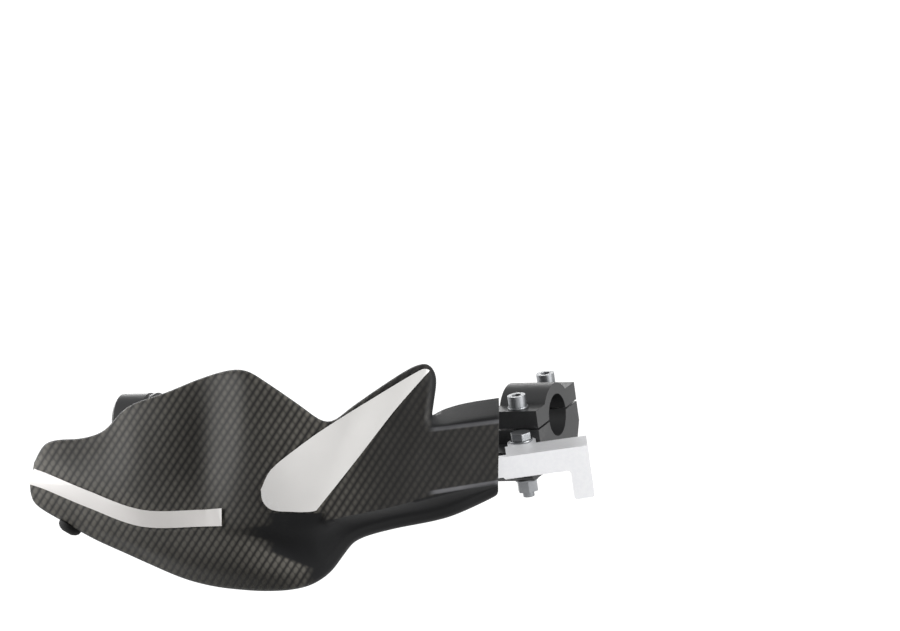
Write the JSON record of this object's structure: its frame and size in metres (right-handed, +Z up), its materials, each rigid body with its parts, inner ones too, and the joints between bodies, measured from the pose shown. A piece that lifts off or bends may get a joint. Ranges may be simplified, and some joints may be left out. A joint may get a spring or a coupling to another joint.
{
  "type": "motorcycle hand guard",
  "caption": "Right-hand motorcycle hand guard: moulded carbon-look shell with silver panels, bar-end arm with weight and expander, and an inner bracket on a handlebar clamp.",
  "frame": {"origin": "centre of the inner clamp's bore, on the handlebar's axis", "axes": "+X along the handlebar towards the middle of the machine, -Y forwards, +Z up"},
  "size_m": [0.3144, 0.1442, 0.1176],
  "materials": {
    "carbon_look_shell": "satin",
    "silver_panel": "satin",
    "white_strip": "satin",
    "brass": "satin",
    "black_aluminium": "satin",
    "black_steel": "satin",
    "zinc_steel": "satin",
    "silver_bracket": "satin",
    "black_rubber": "matte"
  },
  "bodies": {
    "root": {"guard_shell": "carbon_look_shell", "edge_plug": "black_rubber", "wing_panel": "silver_panel", "outer_strip": "white_strip", "outer_inserts": "brass", "inner_inserts": "brass", "outer_arm": "black_steel", "outer_arm_screws": "black_steel", "outer_arm_washers": "zinc_steel", "bar_end_collar": "black_aluminium", "bar_end_weight": "black_steel", "bar_end_bolt": "zinc_steel", "bar_end_washer": "zinc_steel", "expander_sleeve": "black_rubber", "expander_nut": "zinc_steel", "inner_bracket": "silver_bracket", "inner_bracket_screws": "black_steel", "inner_bracket_washers": "zinc_steel", "clamp_upper": "black_aluminium", "clamp_lower": "black_aluminium", "clamp_screws": "zinc_steel", "clamp_washers": "zinc_steel", "bracket_bolt": "zinc_steel", "bracket_washers": "zinc_steel", "bracket_nut": "zinc_steel"}
  },
  "joints": []
}
